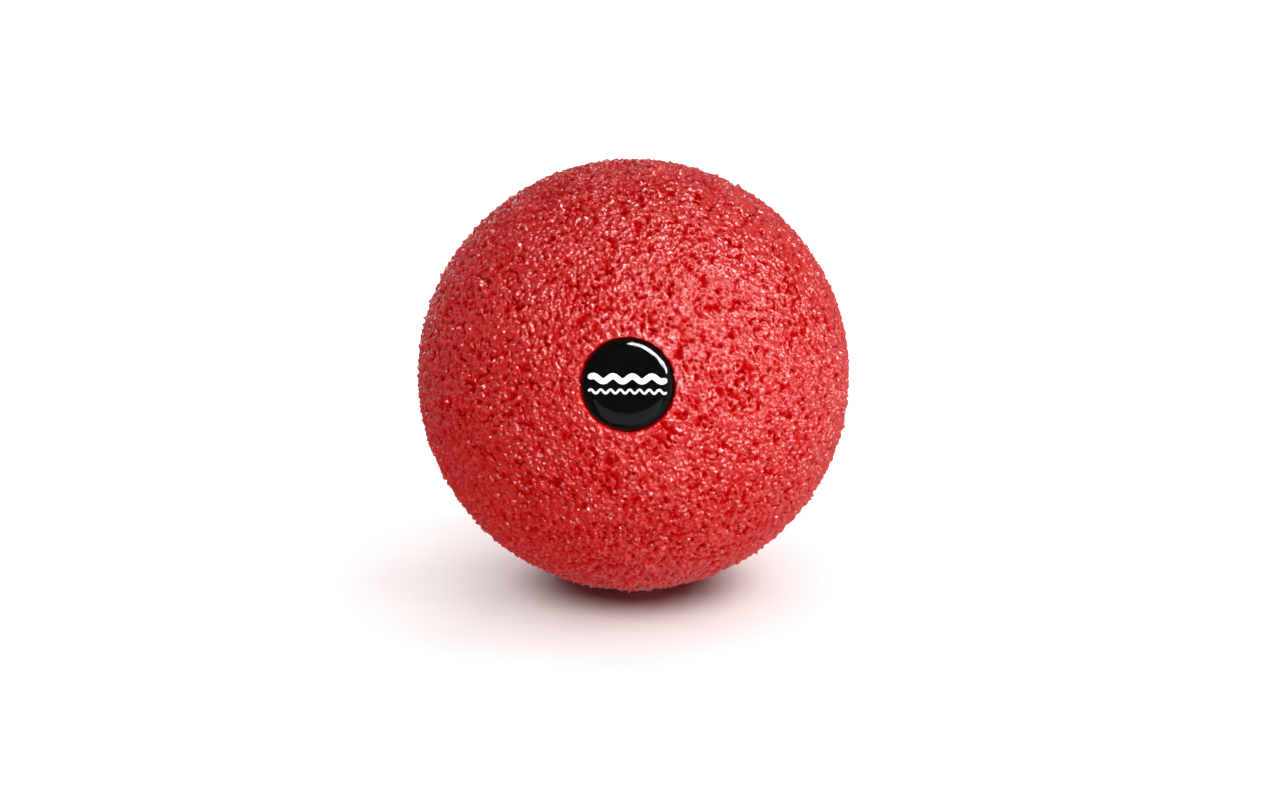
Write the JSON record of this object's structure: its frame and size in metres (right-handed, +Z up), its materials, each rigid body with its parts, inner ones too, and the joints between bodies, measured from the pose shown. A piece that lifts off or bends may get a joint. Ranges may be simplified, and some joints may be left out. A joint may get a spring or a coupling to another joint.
{
  "type": "massage ball",
  "caption": "Solid round massage ball of fused foam beads, with a small domed badge glued into a shallow round pocket in its skin.",
  "frame": {"origin": "the ball's centre", "axes": "+Z up, as the ball lies on a floor; -Y ahead, where the badge looks, turned 13.9 degrees up and 1.5 degrees towards -X; +X to the right of someone who faces the badge"},
  "size_m": [0.0799, 0.08, 0.0799],
  "materials": {
    "bead_foam": "pebbled bead skin, satin",
    "adhesive": "soft, tacky",
    "black_film": "printed film",
    "clear_resin": "clear, high gloss"
  },
  "bodies": {
    "root": {"foam_ball": "bead_foam", "badge_adhesive": "adhesive", "badge_film": "black_film", "badge_dome": "clear_resin"}
  },
  "joints": []
}
